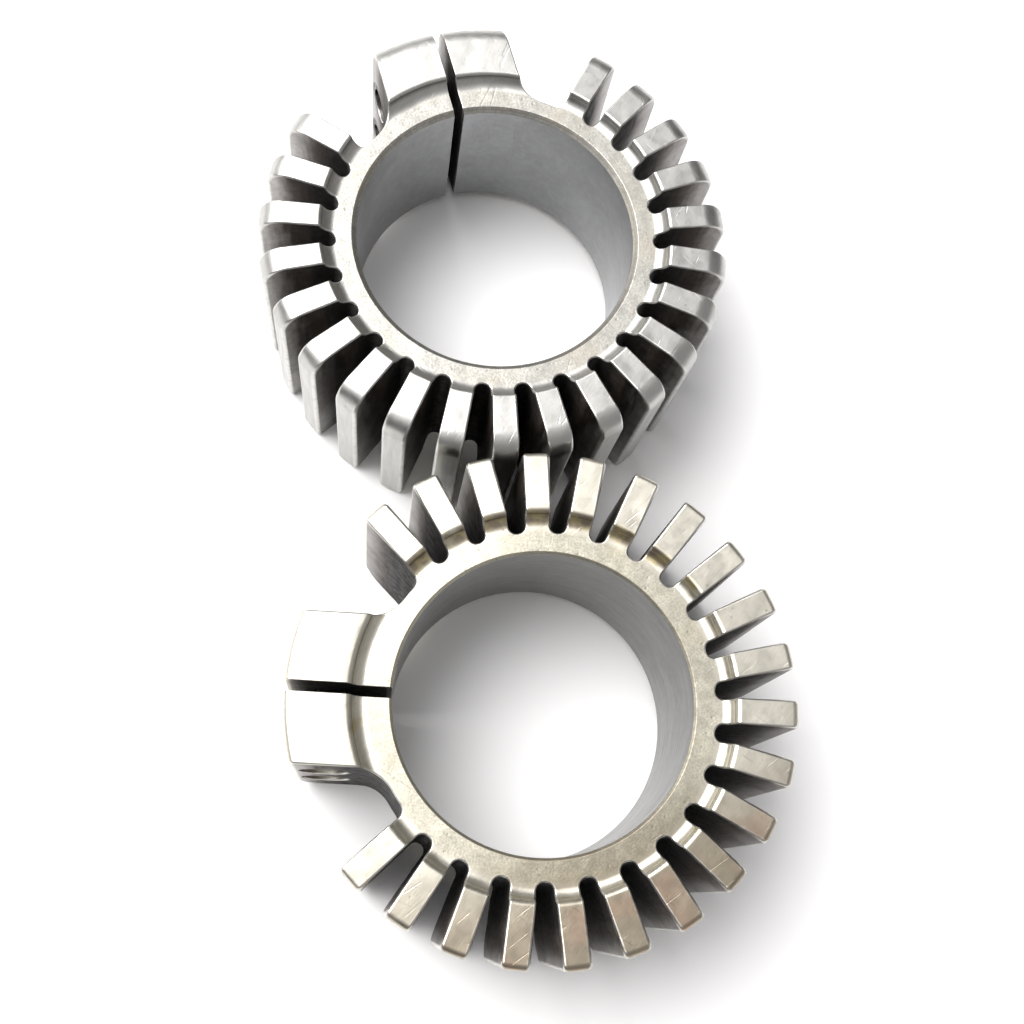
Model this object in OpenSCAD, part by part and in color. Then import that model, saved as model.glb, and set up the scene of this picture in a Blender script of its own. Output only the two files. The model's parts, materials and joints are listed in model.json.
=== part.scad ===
// Pair of finned split clamp rings for a round pipe. Each ring is one casting, slit
// through a boss and drawn closed by two recessed cap screws that cross the slit.
// Origin: centre of the first ring's bore, half-way along its width.
// +Z runs along the bore and +X runs from the first ring to the second.

/* [Ring] */
// Bore diameter, for a 1 3/4 inch pipe
bore_d = 44.45; // [43:0.05:46]
// Diameter over the fin tips
tip_d = 75.6; // [74:0.2:78]
// Width of the fins and the boss along the bore
fin_w = 32; // [28:0.5:36]
// Wall thickness between the bore and the bottom of the fin slots
wall_t = 3.35; // [3:0.05:4]
// How far the two annular faces lie below the fin faces
face_drop = 2; // [1.5:0.1:2.5]
// Width of the slit through the boss
slit_w = 1.5; // [1:0.1:2]

/* [Fins] */
// Number of fins
fin_count = 21; // [17:2:21]
// Thickness of a fin where it leaves the ring
fin_root_t = 3.7; // [3.2:0.1:4]
// Thickness of a fin at its tip
fin_tip_t = 4.2; // [3.8:0.1:4.2]
// Angle from the slit to the first fin on each side
first_fin = 45; // [45:0.5:48]

/* [Boss] */
// Width of the boss across the slit
boss_w = 22.2; // [20:0.2:24]
// Radius of the fillet between the boss and the ring
boss_fillet = 6.5; // [4:0.5:7]

/* [Front face] */
// Bore chamfer
front_chamfer = 0.8; // [0.4:0.1:1]
// Radius of the wall where the fins rise from the annular face
front_step_r = 27.8; // [27.4:0.1:28.4]
// Fillet at the foot of that wall
front_step_fillet = 1.6; // [1:0.1:2]
// Rounding of the fins' outer corners
front_corner = 3.8; // [1:0.1:4.5]

/* [Back face] */
// Bore chamfer
back_chamfer = 0.4; // [0.2:0.1:0.8]
// Radius of the wall where the fins rise from the annular face
back_step_r = 29; // [28:0.1:29.4]
// Fillet at the foot of that wall
back_step_fillet = 2.6; // [1.6:0.1:2.8]
// Rounding of the fins' outer corners
back_corner = 0.9; // [0.4:0.1:2]

/* [Clamp screws] */
// Distance from the bore's axis to the screw axes
screw_r = 31.4; // [31:0.1:31.8]
// Distance between the two screws along the bore
screw_spacing = 11.2; // [10:0.2:13]
// Nominal thread diameter
thread_d = 4; // [4:0.1:4.2]
// Head diameter
head_d = 7; // [6.8:0.1:7]
// Head height
head_h = 4; // [3.4:0.1:4.2]
// Length under the head
screw_l = 16; // [14:0.5:16]
// Hexagon socket, across the flats
socket_af = 3; // [2.5:0.5:3]
// Depth of the hexagon socket
socket_depth = 2; // [1.5:0.1:2.2]
// Lock washer thickness
washer_t = 1.2; // [0.8:0.1:1.2]
// Gap between the ends of the split lock washer
washer_gap = 0.6; // [0.4:0.1:1]
// Counterbore diameter
counterbore_d = 7.4; // [7.3:0.1:7.6]
// Clearance hole diameter
clearance_d = 4.5; // [4.4:0.1:4.8]
// Distance from the slit's middle to the floor of the counterbore
seat_y = 4.2; // [4:0.1:4.6]

/* [Threaded inserts] */
// Insert diameter
insert_d = 5.6; // [5.4:0.1:6]
// Insert length
insert_l = 6.5; // [5:0.5:7]
// Distance from the slit's middle to the shoulder that the insert bears on
shoulder_y = 3.2; // [3:0.1:3.6]

/* [How the pair lies] */
// Distance between the two bores
ring_pitch = 75; // [75:0.1:90]
// Direction of the first ring's slit, from +X
slit_a = 190.3; // [189.8:0.1:190.8]
// Direction of the second ring's slit, from +X
slit_b = 261.9; // [261.7:0.1:262]

/* [Hidden] */
$fn = 96;
eps = 0.01;
bore_r = bore_d / 2;
tip_r = tip_d / 2;
root_r = bore_r + wall_t;
half_w = fin_w / 2;
annulus_z = half_w - face_drop;
fin_pitch = (360 - 2 * first_fin) / (fin_count - 1);
fin_lean = atan((fin_tip_t - fin_root_t) / 2 / (tip_r - root_r));  // of each wall, from the fin's middle
fin_wall = fin_root_t / 2 * cos(fin_lean) - root_r * sin(fin_lean);  // a wall's distance from the axis
slot_lean = fin_pitch / 2 - fin_lean;                                // of each wall, from the slot's middle
slot_r = (root_r - fin_wall) / (1 - sin(slot_lean)) * sin(slot_lean) - fin_wall;
past = 2;                        // how far cutting shapes run past the surface
crossing = 0.005;                // the slot bottoms meet the fins at a shallow edge this deep
running_gap = 0.05;              // radial clearance of the screw in its insert
socket_point = 0.6;              // depth of the socket's drilled point
head_chamfer = 0.4;
shank_chamfer = 0.5;
insert_chamfer = 0.3;
insert_groove = 0.25;            // depth of the retaining groove round the insert
insert_groove_w = 1.2;
washer_d = 7;
washer_bore = 4.1;
washer_cut_lean = 25;            // slant of the washer's split from its axis

// Plan of the ring, seen along the bore, with the slit along +X

// Foot of a fillet of radius g between the line y = h and the root circle
function fillet_centre(h, g) = [sqrt(pow(root_r + g, 2) - pow(h + g, 2)), h + g];

// Material that blends a wall lying on y = h into the root circle, on its +Y side
module root_fillet(h, g) {
    c = fillet_centre(h, g);
    touch = c * root_r / norm(c);
    difference() {
        polygon([[0, 0], [c[0], 0], [c[0], h], touch]);
        translate(c) circle(r = g);
    }
}

// Full-round bottom of the slot between two neighbouring fins, centred on +X
module slot_root() {
    c = root_r + slot_r;
    touch = [c - slot_r * sin(slot_lean), slot_r * cos(slot_lean)];
    difference() {
        polygon([[0, 0], [touch[0], -touch[1]], touch]);
        translate([c + crossing, 0]) circle(r = slot_r + crossing);
    }
}

// Half a fin's thickness at distance x along it
function fin_half(x) = fin_root_t / 2 + (x - root_r) * tan(fin_lean);

module fin_plan() {
    near = root_r - past;
    far = tip_r + past;
    polygon([[near, -fin_half(near)], [far, -fin_half(far)], [far, fin_half(far)], [near, fin_half(near)]]);
}

module end_fin_fillets() {
    for (side = [0, 1]) mirror([0, side]) rotate(first_fin)
        mirror([0, 1]) rotate(fin_lean) root_fillet(fin_wall, slot_r);
}

module boss_plan() {
    translate([root_r - 2 * past, -boss_w / 2]) square([tip_r - root_r + 3 * past, boss_w]);
    for (side = [0, 1]) mirror([0, side]) root_fillet(boss_w / 2, boss_fillet);
}

module ring_plan() {
    difference() {
        union() {
            circle(r = root_r);
            boss_plan();
            end_fin_fillets();
            for (i = [0 : fin_count - 1]) rotate(first_fin + i * fin_pitch) fin_plan();
            for (i = [0 : fin_count - 2]) rotate(first_fin + (i + 0.5) * fin_pitch) slot_root();
        }
        translate([0, -slit_w / 2]) square([tip_r + 2 * past, slit_w]);
    }
}

// Half-section of the ring, radius along +X and the bore along +Y

// What the fins' outer corner loses to a rounding of radius r
module corner_cut(r) {
    translate([tip_r - r, half_w - r]) difference() {
        square(r + past);
        circle(r = r);
    }
}

// Sunken annular face: floor, filleted foot and the wall at radius step_r
module face_recess(step_r, fillet) {
    straight = max(face_drop - fillet, 0);
    translate([0, annulus_z]) square([step_r - fillet, face_drop + past]);
    if (straight > 0)
        translate([0, annulus_z + fillet]) square([step_r, straight + past]);
    translate([step_r - fillet, annulus_z + fillet]) circle(r = fillet);
}

module bore_chamfer(c) {
    polygon([[bore_r - past, annulus_z + past], [bore_r - past, annulus_z - c - past],
             [bore_r, annulus_z - c], [bore_r + c, annulus_z], [bore_r + c, annulus_z + past]]);
}

module ring_section() {
    difference() {
        translate([bore_r, -half_w]) square([tip_r - bore_r, fin_w]);
        face_recess(front_step_r, front_step_fillet);
        bore_chamfer(front_chamfer);
        corner_cut(front_corner);
        mirror([0, 1]) {
            face_recess(back_step_r, back_step_fillet);
            bore_chamfer(back_chamfer);
            corner_cut(back_corner);
        }
    }
}

// Turns a shape built along +Z into the screw axis: the head end points to -Y
module at_screw(level) {
    translate([screw_r, 0, level * screw_spacing / 2]) rotate([90, 0, 0]) children();
}

module screw_hole() {
    deep = boss_w / 2 + past;
    cylinder(d = clearance_d, h = 2 * deep, center = true);
    translate([0, 0, seat_y]) cylinder(d = counterbore_d, h = deep - seat_y);
    translate([0, 0, -deep]) cylinder(d = insert_d, h = deep - shoulder_y);
}

module finned_ring() {
    color("gainsboro") difference() {
        intersection() {
            linear_extrude(height = fin_w + 2 * past, center = true) ring_plan();
            rotate_extrude() ring_section();
        }
        for (level = [-1, 1]) at_screw(level) screw_hole();
    }
}

// Cap screw, resting on the lock washer
module cap_screw() {
    seat = seat_y + washer_t;
    shank_r = thread_d / 2 - running_gap;
    head_r = head_d / 2;
    color("silver") difference() {
        rotate_extrude() polygon([
            [0, seat - screw_l],
            [shank_r - shank_chamfer, seat - screw_l],
            [shank_r, seat - screw_l + shank_chamfer],
            [shank_r, seat],
            [head_r, seat],
            [head_r, seat + head_h - head_chamfer],
            [head_r - head_chamfer, seat + head_h],
            [0, seat + head_h]
        ]);
        translate([0, 0, seat + head_h - socket_depth])
            cylinder(d = socket_af / cos(30), h = socket_depth + eps, $fn = 6);
        translate([0, 0, seat + head_h - socket_depth - socket_point])
            cylinder(d1 = 0, d2 = socket_af, h = socket_point + eps);
    }
}

// Split lock washer, flattened by the screw head, with a slanted cut
module lock_washer() {
    color("dimgray") translate([0, 0, seat_y]) difference() {
        cylinder(d = washer_d, h = washer_t);
        translate([0, 0, -eps]) cylinder(d = washer_bore, h = washer_t + 2 * eps);
        translate([0, -washer_gap / 2, washer_t / 2]) rotate([washer_cut_lean, 0, 0])
            translate([0, 0, -washer_t]) cube([washer_d, washer_gap, 2 * washer_t]);
    }
}

// Threaded bush pressed in from the far flank, against its shoulder
module threaded_insert() {
    r = insert_d / 2;
    top = -shoulder_y;
    bottom = top - insert_l;
    middle = (top + bottom) / 2;
    color("darkkhaki") difference() {
        rotate_extrude() polygon([
            [thread_d / 2, bottom], [r - insert_chamfer, bottom], [r, bottom + insert_chamfer],
            [r, middle - insert_groove_w / 2], [r - insert_groove, middle - insert_groove_w / 2],
            [r - insert_groove, middle + insert_groove_w / 2], [r, middle + insert_groove_w / 2],
            [r, top - insert_chamfer], [r - insert_chamfer, top], [thread_d / 2, top]
        ]);
    }
}

// Ring A lies front face up. Ring B lies beside it, turned over about its slit
module place_a() { rotate(slit_a) children(); }
module place_b() { translate([ring_pitch, 0, 0]) rotate(slit_b) rotate([180, 0, 0]) children(); }

place_a() finned_ring();  // finned_ring_a
place_b() finned_ring();  // finned_ring_b
place_a() at_screw(1) cap_screw();  // cap_screw_a_upper
place_a() at_screw(-1) cap_screw();  // cap_screw_a_lower
place_b() at_screw(-1) cap_screw();  // cap_screw_b_upper
place_b() at_screw(1) cap_screw();  // cap_screw_b_lower
place_a() at_screw(1) lock_washer();  // lock_washer_a_upper
place_a() at_screw(-1) lock_washer();  // lock_washer_a_lower
place_b() at_screw(-1) lock_washer();  // lock_washer_b_upper
place_b() at_screw(1) lock_washer();  // lock_washer_b_lower
place_a() at_screw(1) threaded_insert();  // threaded_insert_a_upper
place_a() at_screw(-1) threaded_insert();  // threaded_insert_a_lower
place_b() at_screw(-1) threaded_insert();  // threaded_insert_b_upper
place_b() at_screw(1) threaded_insert();  // threaded_insert_b_lower
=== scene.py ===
import json
import math
import random

import bpy
from mathutils import Matrix, Vector
from mathutils.geometry import delaunay_2d_cdt


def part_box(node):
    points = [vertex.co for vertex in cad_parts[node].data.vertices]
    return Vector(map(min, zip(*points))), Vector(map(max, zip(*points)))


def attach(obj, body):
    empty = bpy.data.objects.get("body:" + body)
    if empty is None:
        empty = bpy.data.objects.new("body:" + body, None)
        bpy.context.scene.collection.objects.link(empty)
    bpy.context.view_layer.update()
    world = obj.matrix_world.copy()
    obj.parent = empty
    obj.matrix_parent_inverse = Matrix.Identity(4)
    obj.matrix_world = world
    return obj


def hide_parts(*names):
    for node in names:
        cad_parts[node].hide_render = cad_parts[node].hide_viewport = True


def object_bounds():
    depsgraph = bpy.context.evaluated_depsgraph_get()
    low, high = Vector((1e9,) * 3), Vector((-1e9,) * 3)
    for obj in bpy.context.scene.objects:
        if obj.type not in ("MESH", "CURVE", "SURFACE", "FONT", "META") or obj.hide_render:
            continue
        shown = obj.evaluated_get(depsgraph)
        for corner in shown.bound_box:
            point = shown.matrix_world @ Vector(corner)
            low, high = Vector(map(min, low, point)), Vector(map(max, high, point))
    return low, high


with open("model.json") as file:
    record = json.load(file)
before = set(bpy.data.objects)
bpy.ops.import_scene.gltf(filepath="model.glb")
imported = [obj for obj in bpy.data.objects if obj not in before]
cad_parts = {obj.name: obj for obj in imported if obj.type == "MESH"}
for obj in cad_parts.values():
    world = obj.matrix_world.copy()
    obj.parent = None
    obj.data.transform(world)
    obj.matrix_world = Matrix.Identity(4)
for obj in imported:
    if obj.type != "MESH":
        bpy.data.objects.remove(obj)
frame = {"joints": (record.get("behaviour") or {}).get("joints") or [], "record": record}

cad_low, cad_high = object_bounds()
record = frame["record"]
MM = 0.001

# ---- The ring's sizes, in millimetres, in its own frame: slit along +X, bore along Z ----

MOUNTS = {m["name"]: m for m in record["mounts"]}
HINGES = {j["child"]: j for j in frame["joints"] if j["type"] == "hinge"}
BORE_R = MOUNTS["bore_a"]["dims"]["r_mm"]
HALF_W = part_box("finned_ring_a")[1].z / MM
TIP_R = 37.78          # just inside the CAD, whose arcs have flat facets
ROOT_R = BORE_R + 3.35
FACE_DROP = 2.0
ANNULUS_Z = HALF_W - FACE_DROP
SLIT = 1.5
FIN_COUNT = 21
FIN_ROOT_T, FIN_TIP_T = 3.7, 4.2
FIRST_FIN = 45.0
FIN_PITCH = (360 - 2 * FIRST_FIN) / (FIN_COUNT - 1)
FIN_LEAN = math.atan((FIN_TIP_T - FIN_ROOT_T) / 2 / (TIP_R - ROOT_R))
FIN_WALL = FIN_ROOT_T / 2 * math.cos(FIN_LEAN) - ROOT_R * math.sin(FIN_LEAN)
BOSS_H = 11.1
BOSS_FILLET = 6.5
SCREW_R = 31.4
SCREW_LEVEL = 5.6
COUNTERBORE_R, CLEARANCE_R, INSERT_R = 3.7, 2.25, 2.8
SEAT_Y, SHOULDER_Y = 4.2, 3.2

EDGE_R = 0.35          # rounding that the tumbling gave the outer edges
TIP_EDGE_R = 0.65      # the fin tips took the most tumbling
TIP_BLEND = 2.4        # length over which the rounding grows towards the tip's
BOSS_EDGE_R = 0.45     # the boss's outer corners, a little less
SLIT_EDGE_R = 0.15     # the sawn slit is crisper
BORE_EDGE_R = 0.2      # softening on both sides of the bore chamfer
TIP_WEAR = 0.12        # most that the tumbling took off a fin's length
MOUTH_R = 0.25         # rounding at the mouths of the screw holes
NECK_END = 29.7        # radius at which the recess has ended on both faces
MID_ANNULUS_R = 24.2   # radius of a row of points on the flat annulus


class Face:
    """One side of the ring's half-section: the front rounds its corners more than the back."""

    def __init__(self, sign, chamfer, foot_r, foot, lip, corner):
        self.sign = sign
        self.chamfer = chamfer
        self.foot_r = foot_r
        self.foot = foot
        self.lip = lip
        self.corner = corner
        self.slope = math.acos(1 - FACE_DROP / (foot + lip))
        self.lip_r = foot_r + (foot + lip) * math.sin(self.slope)

    def level(self, r, inset=0.0):
        """Height and section normal (radial, axial) at radius r of the face, sunk by inset."""
        foot, lip = self.foot + inset, self.lip - inset
        if r <= self.foot_r:
            z, nr = ANNULUS_Z - inset, 0.0
        elif r <= self.foot_r + foot * math.sin(self.slope):
            nr = -(r - self.foot_r) / foot
            z = ANNULUS_Z + self.foot - foot * math.sqrt(1 - nr * nr)
        elif r < self.lip_r:
            nr = -(self.lip_r - r) / lip
            z = HALF_W - self.lip + lip * math.sqrt(1 - nr * nr)
        else:
            z, nr = HALF_W - inset, 0.0
        return z * self.sign, nr, math.sqrt(1 - nr * nr) * self.sign

    def neck_radii(self):
        """Radii at which the recess needs a row of points."""
        foot = [self.foot_r + self.foot * math.sin(self.slope * k / 7) for k in range(8)]
        lip = [self.lip_r - self.lip * math.sin(self.slope * k / 5) for k in range(5)]
        return foot + lip


# Foot and lip are the radii of the recess's concave and convex fillets, corner of the fin's tip
FRONT = Face(1, chamfer=0.8, foot_r=25.7, foot=2.1, lip=0.6, corner=3.8)
BACK = Face(-1, chamfer=0.4, foot_r=26.4, foot=1.8, lip=0.85, corner=1.0)


# ---- Mesh building: a corner is (point, exact normal, how much it belongs to a worn edge) ----

def unmoved(corner):
    return corner


class Skin:
    """One closed surface. Corners that meet share a vertex, and each face corner keeps a normal."""

    WELD = 20000           # corners on the same 1/20000 mm are one vertex

    def __init__(self):
        self.found = {}
        self.points = []
        self.edge = []
        self.faces = []
        self.normals = []

    def vertex(self, corner):
        point, _, edge = corner
        key = tuple(round(c * self.WELD) for c in point)
        if key not in self.found:
            self.found[key] = len(self.points)
            self.points.append(point)
            self.edge.append(edge)
        return self.found[key]

    def face(self, corners):
        """Adds a face, turned so that it looks the way its corners' normals do."""
        kept = []
        for corner in corners:
            number = self.vertex(corner)
            if not kept or (number != kept[-1][0] and number != kept[0][0]):
                kept.append((number, corner[1]))
        if len(kept) < 3:
            return
        if facing(self.points, kept) < 0:
            kept.reverse()
        self.faces.append([number for number, _ in kept])
        self.normals.extend(normal for _, normal in kept)

    def band(self, rows, place=unmoved, closed=False):
        """Joins neighbouring rows of corners, moved to place, with four-sided faces."""
        rows = [[place(corner) for corner in row] for row in rows]
        following = rows[1:] + rows[:1] if closed else rows[1:]
        for low, high in zip(rows, following):
            for k in range(len(low) - 1):
                self.face([low[k], high[k], high[k + 1], low[k + 1]])

    def sheet(self, outline, holes, normal, place):
        """Fills an outline that has holes and lies square to Y, and moves it to place."""
        corners = []
        loops = []
        for loop in (outline, *holes):
            loops.append(list(range(len(corners), len(corners) + len(loop))))
            corners += [place((point, normal, edge)) for point, _, edge in loop]
        points = [(x, z) for (x, _, z), _, _ in corners]
        edges = [(a, b) for loop in loops for a, b in zip(loop, loop[1:] + loop[:1])]
        _, _, faces, origin, _, _ = delaunay_2d_cdt([Vector(p) for p in points], edges, [], 0, 1e-6)
        for face in faces:
            numbers = [origin[k][0] for k in face]
            x = sum(points[n][0] for n in numbers) / len(numbers)
            y = sum(points[n][1] for n in numbers) / len(numbers)
            inside = [crossings([points[n] for n in loop], x, y) % 2 for loop in loops]
            if inside[0] and not any(inside[1:]):
                self.face([corners[n] for n in numbers])

    def build(self, name, place=Matrix()):
        """The mesh in metres, with every point and normal moved to place."""
        turn = place.to_3x3()
        mesh = bpy.data.meshes.new(name)
        mesh.from_pydata([place @ (Vector(p) * MM) for p in self.points], [], self.faces)
        mesh.polygons.foreach_set("use_smooth", [True] * len(mesh.polygons))
        mesh.normals_split_custom_set([(turn @ Vector(n)).normalized() for n in self.normals])
        edge = mesh.attributes.new("edge", "FLOAT", "POINT")
        edge.data.foreach_set("value", self.edge)
        mesh.update()
        return mesh


def facing(points, kept):
    """Above zero if the face's corners run the way that makes it look along their normals."""
    ox, oy, oz = points[kept[0][0]]
    area = [0.0, 0.0, 0.0]
    for (a, _), (b, _) in zip(kept[1:], kept[2:]):
        ax, ay, az = points[a][0] - ox, points[a][1] - oy, points[a][2] - oz
        bx, by, bz = points[b][0] - ox, points[b][1] - oy, points[b][2] - oz
        area[0] += ay * bz - az * by
        area[1] += az * bx - ax * bz
        area[2] += ax * by - ay * bx
    return sum(area[k] * normal[k] for _, normal in kept for k in range(3))


def crossings(loop, x, y):
    """How often a ray from (x, y) along +X meets the loop."""
    count = 0
    for (ax, ay), (bx, by) in zip(loop, loop[1:] + loop[:1]):
        if (ay > y) != (by > y) and x < ax + (y - ay) * (bx - ax) / (by - ay):
            count += 1
    return count


def round_corner(r, z, nr, nz, angle, edge=0.0):
    """Corner at an angle round Z, from its radius and height and its normal's two parts."""
    co, si = math.cos(angle), math.sin(angle)
    return (r * co, r * si, z), (nr * co, nr * si, nz), edge


def turned(corner, degrees):
    (x, y, z), (a, b, c), edge = corner
    co, si = math.cos(math.radians(degrees)), math.sin(math.radians(degrees))
    return (x * co - y * si, x * si + y * co, z), (a * co - b * si, a * si + b * co, c), edge


def mirrored(corner):
    (x, y, z), (a, b, c), edge = corner
    return (x, -y, z), (a, -b, c), edge


# ---- The ring ----

STRIP = [90 * k / 4 for k in range(5)]     # angles over a rounded edge: 0 is the wall, 90 the face
ROW_GAP = 0.03                             # rows of points lie at least this far apart
FIN_ACROSS, BOSS_ACROSS = 6, 12            # faces across a fin, and across half of the boss
HOLE_AROUND = 48
GAP_ALONG = 4


def section_corner(point, v):
    """Corner on the half-section's point (r, z, nr, nz), at lateral place v."""
    r, z, nr, nz = point
    u = math.sqrt(r * r - v * v)
    return (u, v, z), (nr * u / r, nr * v / r, nz), 0.0


def tip_rounding(r, tip_r, largest):
    """Edge rounding at radius r: it grows to its largest over the last of the way to the tip."""
    share = max(0.0, min(1.0, (r - tip_r + TIP_BLEND) / TIP_BLEND))
    return EDGE_R + (largest - EDGE_R) * share * share * (3 - 2 * share)


def rounded_corner(point, wall, out, rounding, theta):
    """Corner on the rounding between the section and the plane wall at v = wall, facing out."""
    r, z, nr, nz = point
    si, co = math.sin(math.radians(theta)), math.cos(math.radians(theta))
    sunk = rounding * (1 - si)
    r, z = r - sunk * nr, z - sunk * nz
    v = wall - out * rounding * (1 - co)
    u = math.sqrt(r * r - v * v)
    normal = (si * nr * u / r, si * nr * v / r + co * out, si * nz)
    return (u, v, z), normal, 2 * si * co


class Root:
    """Concave wall of radius g that blends a wall at v = wall into the root circle."""

    def __init__(self, wall, g):
        self.wall = wall
        self.g = g
        self.far = ROOT_R + g
        self.bearing = math.asin((wall + g) / self.far)
        self.sweep = math.pi / 2 - self.bearing
        self.start_r = ROOT_R - EDGE_R
        self.end_r = math.hypot(self.far * math.cos(self.bearing), wall - EDGE_R)
        self.wall_r = math.hypot(self.far * math.cos(self.bearing), wall) + ROW_GAP

    def angle(self, r):
        """Where round the concave wall the rounding's inner edge is at radius r."""
        g = self.g + EDGE_R
        cosine = (self.far ** 2 + g * g - r * r) / (2 * self.far * g)
        return math.acos(max(-1.0, min(1.0, cosine)))

    def radius(self, angle):
        """The other way round: the radius at an angle round the concave wall."""
        g = self.g + EDGE_R
        return math.sqrt(self.far ** 2 + g * g - 2 * self.far * g * math.cos(angle))

    def corner(self, face, angle, theta):
        """Corner on the rounding between a face and the concave wall."""
        si, co = math.sin(math.radians(theta)), math.cos(math.radians(theta))
        g = self.g + EDGE_R * (1 - co)
        heading = math.pi + self.bearing + angle
        wx, wy = math.cos(heading), math.sin(heading)
        x = self.far * math.cos(self.bearing) + g * wx
        y = self.far * math.sin(self.bearing) + g * wy
        r = math.hypot(x, y)
        z, nr, nz = face.level(r, EDGE_R * (1 - si))
        normal = (si * nr * x / r - co * wx, si * nr * y / r - co * wy, si * nz)
        return (x, y, z), normal, 2 * si * co


# The slot's round bottom touches the root circle and the walls of both fins beside it
SLOT_LEAN = math.radians(FIN_PITCH / 2) - FIN_LEAN
SLOT_R = (ROOT_R * math.sin(SLOT_LEAN) - FIN_WALL) / (1 - math.sin(SLOT_LEAN))
FIN_ROOT = Root(FIN_WALL, SLOT_R)
BOSS_ROOT = Root(BOSS_H, BOSS_FILLET)


def neck_rows(root, steps):
    """Radii of the rows on the neck, shared by both faces, from the root circle outwards."""
    curve = [root.radius(root.sweep * k / steps) for k in range(1, steps)]
    wanted = sorted(curve + FRONT.neck_radii() + BACK.neck_radii())
    kept = [root.start_r, root.end_r, NECK_END]
    for r in wanted:
        blended = root.end_r < r < root.wall_r
        if root.start_r < r < NECK_END and not blended and min(abs(r - k) for k in kept) > ROW_GAP:
            kept.append(r)
    return sorted(kept)


def tip_rows(tip_r, front_corner, back_corner):
    """Half-section points (r, z, nr, nz) from the front face round the tip to the back face."""
    rows = []
    for face, corner, steps in ((FRONT, front_corner, 12), (BACK, back_corner, 6)):
        arc = []
        for k in range(steps + 1):
            a = math.pi / 2 * k / steps
            r = tip_r - corner + corner * math.sin(a)
            z = HALF_W - corner + corner * math.cos(a)
            arc.append((r, z * face.sign, math.sin(a), math.cos(a) * face.sign))
        rows.append(arc)
    (_, top, _, _), (_, bottom, _, _) = rows[0][-1], rows[1][-1]
    wall = [(tip_r, top + (bottom - top) * k / 4, 1.0, 0.0) for k in range(1, 4)]
    return rows[0] + wall + rows[1][::-1]


def bore_rows():
    """Half-section points from the back face's annulus through the bore to the front's."""
    rows = []
    tangent = BORE_EDGE_R * math.tan(math.pi / 8)
    for face in (FRONT, BACK):
        side = [(MID_ANNULUS_R, ANNULUS_Z, 0.0, 1.0)]
        outer_r = BORE_R + face.chamfer + tangent
        inner_z = ANNULUS_Z - face.chamfer - tangent
        for k in range(4):
            a = math.pi / 4 * k / 3
            side.append((outer_r - BORE_EDGE_R * math.sin(a),
                         ANNULUS_Z - BORE_EDGE_R * (1 - math.cos(a)), -math.sin(a), math.cos(a)))
        for k in range(4):
            a = math.pi / 4 * (1 + k / 3)
            side.append((BORE_R + BORE_EDGE_R * (1 - math.sin(a)),
                         inner_z + BORE_EDGE_R * math.cos(a), -math.sin(a), math.cos(a)))
        rows.append([(r, z * face.sign, nr, nz * face.sign) for r, z, nr, nz in side])
    wall = [(BORE_R, z, -1.0, 0.0) for z in (-HALF_W / 2, 0.0, HALF_W / 2)]
    return rows[1] + wall + rows[0][::-1]


BORE_ROWS = bore_rows()


def outline(root, radii, tip_r, front_corner, back_corner, largest):
    """The half-section's points, from the front neck round the tip to the back neck. Each comes
    with its strip of corners over the rounded edge to the side wall."""
    chain = [(FRONT, r) for r in radii]
    chain += [(None, point) for point in tip_rows(tip_r, front_corner, back_corner)]
    chain += [(BACK, r) for r in reversed(radii)]
    for face, value in chain:
        point = (value, *face.level(value)) if face else value
        if face and value <= root.end_r:
            angle = root.angle(value)
            strip = [root.corner(face, angle, theta) for theta in STRIP]
        else:
            rounding = tip_rounding(point[0], tip_r, largest)
            strip = [rounded_corner(point, root.wall, 1, rounding, theta) for theta in STRIP]
        yield point, strip


def add_side(skin, rows, curved, place):
    """Adds the rounded edges of a side wall and the part that is curved in plan, ruled from
    face to face over the first curved rows. Returns the outline of the flat rest."""
    skin.band(rows, place)
    front = [row[0] for row in rows[:curved]]
    back = [row[0] for row in rows[::-1][:curved]]
    skin.band([front, back], place)
    return [row[0] for row in rows[curved - 1:len(rows) - curved + 1]]


def add_fin(skin, place, tip_r, front_corner, back_corner):
    """One fin, its share of the annulus and bore, and its half of the slot bottoms beside it."""
    radii = neck_rows(FIN_ROOT, 8)
    inner, plus = [], []
    for point, strip in outline(FIN_ROOT, radii, tip_r, front_corner, back_corner, TIP_EDGE_R):
        strip = [turned(corner, math.degrees(FIN_LEAN)) for corner in strip]
        reach = strip[-1][0][1]
        inner.append([section_corner(point, reach * (2 * k / FIN_ACROSS - 1))
                      for k in range(FIN_ACROSS + 1)])
        plus.append(strip)
    spread = [math.atan2(c[0][1], c[0][0]) for c in inner[0]]
    inner += [[round_corner(*p, a) for a in spread] for p in BORE_ROWS]
    skin.band(inner, place, closed=True)
    curved = sum(1 for r in radii if r <= FIN_ROOT.end_r)
    for side in (unmoved, mirrored):
        rows = [[side(corner) for corner in row] for row in plus]
        flat = add_side(skin, rows, curved, place)
        skin.face([place(corner) for corner in flat])


def add_gap(skin, place):
    """The bare wall between the boss and the first fin."""
    start, end = BOSS_ROOT.bearing, math.radians(FIRST_FIN) - FIN_LEAN - FIN_ROOT.bearing
    rows = []
    for face in (FRONT, BACK):
        side = []
        for theta in reversed(STRIP):
            si, co = math.sin(math.radians(theta)), math.cos(math.radians(theta))
            z = (ANNULUS_Z - EDGE_R * (1 - si)) * face.sign
            side.append(((ROOT_R - EDGE_R * (1 - co), z, co, si * face.sign), 2 * si * co))
        rows.append(side)
    chain = rows[0] + rows[1][::-1] + [(p, 0.0) for p in BORE_ROWS]
    bands = []
    for point, edge in chain:
        bands.append([round_corner(*point, start + (end - start) * k / GAP_ALONG, edge)
                      for k in range(GAP_ALONG + 1)])
    skin.band(bands, place, closed=True)


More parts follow.
